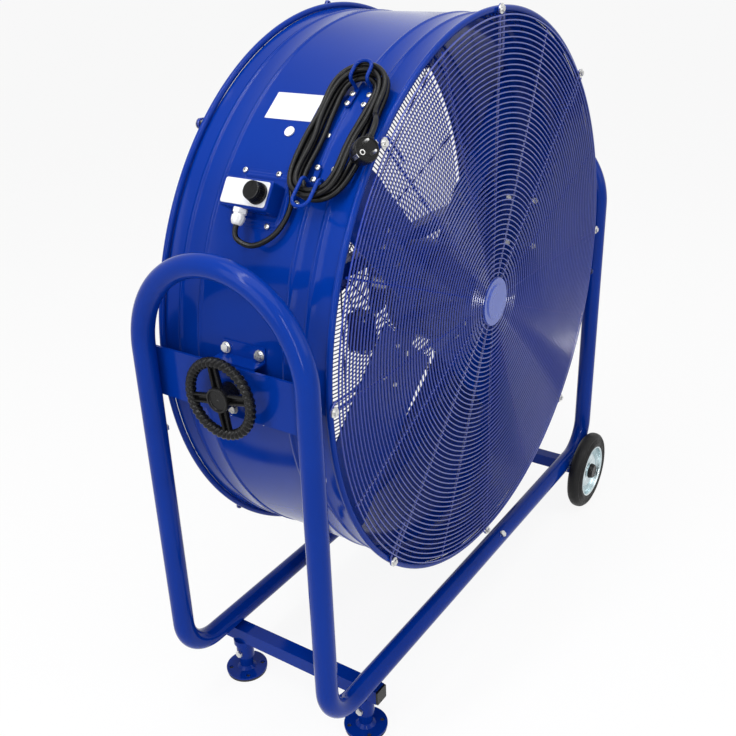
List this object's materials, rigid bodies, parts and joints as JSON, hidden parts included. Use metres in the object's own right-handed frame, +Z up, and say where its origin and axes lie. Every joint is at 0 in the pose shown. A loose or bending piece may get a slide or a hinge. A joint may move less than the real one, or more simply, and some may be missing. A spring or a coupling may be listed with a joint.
{
  "type": "mobile drum fan",
  "caption": "Mobile industrial drum fan: a wide caged axial fan in a flanged drum that tilts in a tubular frame, clamped by a handwheel, with feet and transport wheels",
  "frame": {"origin": "on the floor, below the middle of the drum's tilt axis and drum axis", "axes": "+X from the handwheel and feet to the wheels, along the tilt axis; +Y the drum axis against the air stream, the air leaves at -Y; +Z up"},
  "size_m": [1.23, 0.4736, 1.298],
  "materials": {
    "painted_steel": "gloss powder coat",
    "zinc_steel": "bright zinc plate",
    "black_plastic": "moulded, slightly grained",
    "cord_jacket": "smooth rubber jacket",
    "black_rubber": "moulded rubber",
    "wheel_tyre": "solid rubber with fine ribs",
    "wheel_rim": "zinc-plated pressed steel",
    "grey_plastic": "smooth light-grey plastic",
    "white_plastic": "nylon",
    "motor_paint": "dark blue machine paint",
    "laminated_steel": "stacked laminations"
  },
  "bodies": {
    "frame": {"left_hoop": "painted_steel", "right_hoop": "painted_steel", "front_left_base_tube": "painted_steel", "rear_left_base_tube": "painted_steel", "front_right_base_tube": "painted_steel", "rear_right_base_tube": "painted_steel", "tube_sleeves": "zinc_steel", "frame_screws": "zinc_steel", "left_cross_plate": "painted_steel", "right_cross_plate": "painted_steel", "clamp_washer": "zinc_steel", "guide_bolt": "zinc_steel", "right_pivot_bolt": "zinc_steel", "right_pivot_nut": "zinc_steel", "foot_crossbar": "painted_steel", "feet": "painted_steel", "foot_pads": "black_rubber", "axle_crossbar": "painted_steel", "wheel_axle": "zinc_steel", "crossbar_plugs": "black_plastic"},
    "drum": {"left_drum_bracket": "painted_steel", "right_drum_bracket": "painted_steel", "bracket_bolts": "zinc_steel", "clamp_nut": "zinc_steel", "drum_shell": "painted_steel", "hole_caps": "white_plastic", "front_grille": "painted_steel", "rear_grille": "painted_steel", "grille_hub_discs": "painted_steel", "grille_screws": "zinc_steel", "motor_spindle": "zinc_steel", "motor_stator": "laminated_steel", "motor_carrier": "painted_steel", "terminal_box": "motor_paint", "box_saddle": "painted_steel", "switch_box": "painted_steel", "switch_faceplate": "grey_plastic", "cable_gland": "white_plastic", "drum_screws": "zinc_steel", "cord_hooks": "painted_steel", "cord_lead": "cord_jacket", "cord_hank": "cord_jacket", "cord_tail": "cord_jacket", "mains_plug": "black_plastic"},
    "rotor": {"motor_can": "motor_paint", "motor_end_cover": "motor_paint", "motor_bearings": "zinc_steel", "blade_spider": "painted_steel", "fan_blades": "painted_steel", "blade_bolts": "zinc_steel"},
    "handwheel": {"handwheel": "black_plastic", "clamp_stud": "zinc_steel"},
    "selector": {"selector_knob": "black_plastic"},
    "front_wheel": {"front_wheel_rim": "wheel_rim", "front_wheel_tyre": "wheel_tyre", "front_hub_cap": "black_plastic"},
    "rear_wheel": {"rear_wheel_rim": "wheel_rim", "rear_wheel_tyre": "wheel_tyre", "rear_hub_cap": "black_plastic"}
  },
  "joints": [
    {"name": "drum_tilt", "type": "hinge", "parent": "frame", "child": "drum", "pos_m": [0, 0, 0.749], "axis": [1, 0, 0], "range_deg": [-60, 60]},
    {"name": "rotor_spin", "type": "hinge", "parent": "drum", "child": "rotor", "pos_m": [0, 0, 0.749], "axis": [0, 1, 0], "continuous": true},
    {"name": "handwheel_turn", "type": "hinge", "parent": "frame", "child": "handwheel", "pos_m": [-0.585, 0, 0.749], "axis": [1, 0, 0], "range_deg": [-360, 0]},
    {"name": "selector_turn", "type": "hinge", "parent": "drum", "child": "selector", "pos_m": [-0.47687, -0.013, 1.05573], "axis": [-0.841, 0, 0.541], "range_deg": [0, 270]},
    {"name": "front_wheel_roll", "type": "hinge", "parent": "frame", "child": "front_wheel", "pos_m": [0.522, -0.215, 0.1], "axis": [0, 1, 0], "continuous": true},
    {"name": "rear_wheel_roll", "type": "hinge", "parent": "frame", "child": "rear_wheel", "pos_m": [0.522, 0.215, 0.1], "axis": [0, 1, 0], "continuous": true}
  ]
}
